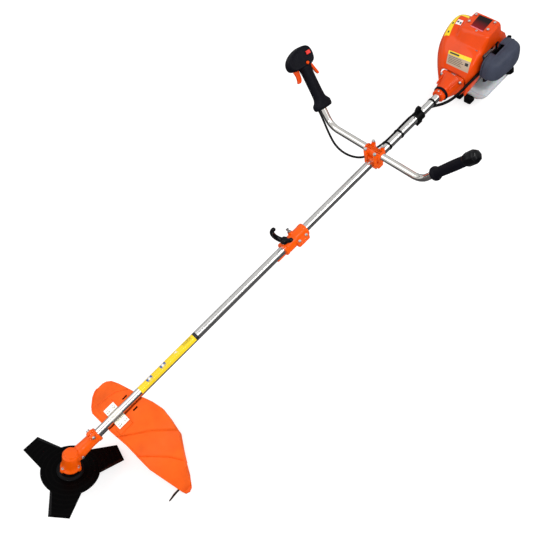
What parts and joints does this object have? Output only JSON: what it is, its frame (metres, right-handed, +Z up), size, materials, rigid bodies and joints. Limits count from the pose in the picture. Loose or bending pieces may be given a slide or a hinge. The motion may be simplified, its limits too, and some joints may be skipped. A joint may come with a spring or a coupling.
{
  "type": "brush cutter",
  "caption": "Petrol brush cutter: engine at the rear, split straight shaft with clamp coupler, U-handle with throttle grip, guard, gear head and toothed blade.",
  "frame": {"origin": "middle of the bounding box on the ground plane, under the shaft", "axes": "+X along the shaft from the blade to the engine, +Y to the operator's right, +Z up; the shaft lies level, 130 mm above the ground"},
  "size_m": [1.9929, 0.7076, 0.3745],
  "materials": {
    "orange_metal": "glossy powder coat",
    "orange_gloss": "glossy moulded",
    "orange_controls": "satin moulded",
    "orange_guard": "fine matt moulding",
    "polished_tube": "bright drawn and polished",
    "black_steel": "satin black",
    "knife_steel": "browned",
    "bright_steel": "bright, turned",
    "black_plastic": "fine grained",
    "black_rubber": "smooth",
    "red_plastic": "glossy",
    "primer_rubber": "soft and clear red",
    "cast_alloy": "as cast",
    "plug_ceramic": "glazed",
    "slate_plastic": "fine grained",
    "starter_plastic": "fine grained",
    "tank_plastic": "milky, slightly clear",
    "rope_cord": "braided cord"
  },
  "bodies": {
    "engine_and_shaft": {"upper_tube": "polished_tube", "upper_shaft_bushes": "black_rubber", "coupler_body": "orange_metal", "handle_clamp_lower": "orange_metal", "handle_clamp_middle": "orange_metal", "handle_clamp_cap": "orange_metal", "socket_screws": "bright_steel", "throttle_cable": "black_rubber", "cable_ties": "black_plastic", "harness_hanger": "black_plastic", "clutch_housing": "orange_metal", "isolator_ring": "black_rubber", "clutch_shoes": "cast_alloy", "crank_train": "bright_steel", "crankcase": "cast_alloy", "cylinder": "cast_alloy", "spark_plug": "plug_ceramic", "flywheel_fan": "cast_alloy", "engine_shroud": "orange_gloss", "muffler": "bright_steel", "carburettor": "cast_alloy", "air_filter_base": "black_plastic", "air_filter_cover": "slate_plastic", "starter_housing": "starter_plastic", "fuel_tank": "tank_plastic"},
    "attachment": {"lower_tube": "polished_tube", "lower_shaft_bushes": "black_rubber", "gear_case": "orange_metal", "head_bearings": "bright_steel", "head_bolts": "bright_steel", "guard_shell": "orange_guard", "guard_clamp": "bright_steel", "knife_bracket": "black_steel", "line_knife": "knife_steel"},
    "cutter": {"output_spindle": "bright_steel", "output_gear": "bright_steel", "cutting_blade": "black_steel", "inner_flange": "black_steel", "glide_cup": "black_steel", "blade_nut": "bright_steel"},
    "lower_drive": {"pinion_gear": "bright_steel", "lower_drive_shaft": "bright_steel"},
    "upper_drive": {"upper_drive_shaft": "bright_steel", "clutch_drum": "bright_steel"},
    "coupler_knob": {"coupler_knob": "black_plastic"},
    "lock_pin": {"lock_pin": "bright_steel"},
    "handlebar": {"handlebar": "polished_tube", "plain_grip": "black_plastic", "throttle_grip_left": "black_plastic", "throttle_grip_right": "black_plastic"},
    "throttle_trigger": {"throttle_trigger": "orange_controls"},
    "trigger_lockout": {"trigger_lockout": "orange_controls"},
    "stop_switch": {"stop_switch": "red_plastic"},
    "start_lock_button": {"start_lock_button": "orange_controls"},
    "choke_lever": {"choke_lever": "black_plastic"},
    "primer_bulb": {"primer_bulb": "primer_rubber"},
    "fuel_cap": {"fuel_cap": "black_plastic"},
    "starter_handle": {"starter_handle": "black_plastic", "starter_rope": "rope_cord"},
    "starter_pulley": {"starter_pulley": "black_plastic"}
  },
  "joints": [
    {"name": "attachment_slide", "type": "slide", "parent": "engine_and_shaft", "child": "attachment", "axis": [-1, 0, 0], "range_m": [0, 0.1]},
    {"name": "blade_spin", "type": "hinge", "parent": "attachment", "child": "cutter", "pos_m": [-0.8696, -0.00645, 0.13], "axis": [0.5, 0, 0.866], "continuous": true},
    {"name": "lower_drive_spin", "type": "hinge", "parent": "attachment", "child": "lower_drive", "pos_m": [-0.8696, -0.00645, 0.13], "axis": [1, 0, 0], "continuous": true},
    {"name": "upper_drive_spin", "type": "hinge", "parent": "engine_and_shaft", "child": "upper_drive", "pos_m": [0.7704, -0.00645, 0.13], "axis": [1, 0, 0], "continuous": true},
    {"name": "knob_turn", "type": "hinge", "parent": "engine_and_shaft", "child": "coupler_knob", "pos_m": [-0.0136, -0.00645, 0.17], "axis": [0, 0, 1], "range_deg": [0, 720]},
    {"name": "lock_pin_pull", "type": "slide", "parent": "engine_and_shaft", "child": "lock_pin", "axis": [0, 0.6691, 0.7431], "range_m": [0, 0.004], "stiffness_N_per_m": 800, "springref_m": -0.004},
    {"name": "bar_tilt", "type": "hinge", "parent": "engine_and_shaft", "child": "handlebar", "pos_m": [0.3951, -0.00645, 0.164], "axis": [0, 1, 0], "range_deg": [-20, 20], "deforming": ["throttle_cable"]},
    {"name": "trigger_squeeze", "type": "hinge", "parent": "handlebar", "child": "throttle_trigger", "pos_m": [0.40446, 0.3113, 0.32894], "axis": [0, -0.7675, 0.641], "range_deg": [0, 12], "stiffness_Nm_per_rad": 0.4, "springref_deg": -20.05},
    {"name": "lockout_press", "type": "hinge", "parent": "handlebar", "child": "trigger_lockout", "pos_m": [0.45941, 0.30085, 0.31643], "axis": [0, 0.7675, -0.641], "range_deg": [0, 5], "stiffness_Nm_per_rad": 0.3, "springref_deg": -17.19},
    {"name": "switch_rock", "type": "hinge", "parent": "handlebar", "child": "stop_switch", "pos_m": [0.46592, 0.30932, 0.35152], "axis": [0.1824, 0.6303, 0.7546], "range_deg": [-6, 6]},
    {"name": "start_lock_press", "type": "slide", "parent": "handlebar", "child": "start_lock_button", "axis": [0, 0.7675, -0.641], "range_m": [0, 0.0025], "stiffness_N_per_m": 500, "springref_m": -0.003},
    {"name": "choke_turn", "type": "hinge", "parent": "engine_and_shaft", "child": "choke_lever", "pos_m": [0.9164, -0.07245, 0.2], "axis": [0, 1, 0], "range_deg": [-30, 30]},
    {"name": "primer_press", "type": "slide", "parent": "engine_and_shaft", "child": "primer_bulb", "axis": [0, 0, 1], "range_m": [0, 0.003], "stiffness_N_per_m": 300, "springref_m": -0.003},
    {"name": "cap_unscrew", "type": "hinge", "parent": "engine_and_shaft", "child": "fuel_cap", "pos_m": [0.9684, -0.06845, 0.059], "axis": [0, -0.8, 0.6], "range_deg": [0, 540]},
    {"name": "rope_pull", "type": "slide", "parent": "engine_and_shaft", "child": "starter_handle", "axis": [0, 1, 0], "range_m": [0, 0.6], "stiffness_N_per_m": 8, "springref_m": -0.4, "deforming": ["starter_rope"]},
    {"name": "pulley_spin", "type": "hinge", "parent": "engine_and_shaft", "child": "starter_pulley", "pos_m": [0.9604, -0.00645, 0.13], "axis": [1, 0, 0], "range_deg": [0, 1400]}
  ],
  "couplings": [
    {"joint": "lower_drive_spin", "follows": "blade_spin", "ratio": -1.3333},
    {"joint": "upper_drive_spin", "follows": "blade_spin", "ratio": -1.3333},
    {"joint": "pulley_spin", "follows": "rope_pull", "rad_per_m": 40}
  ]
}
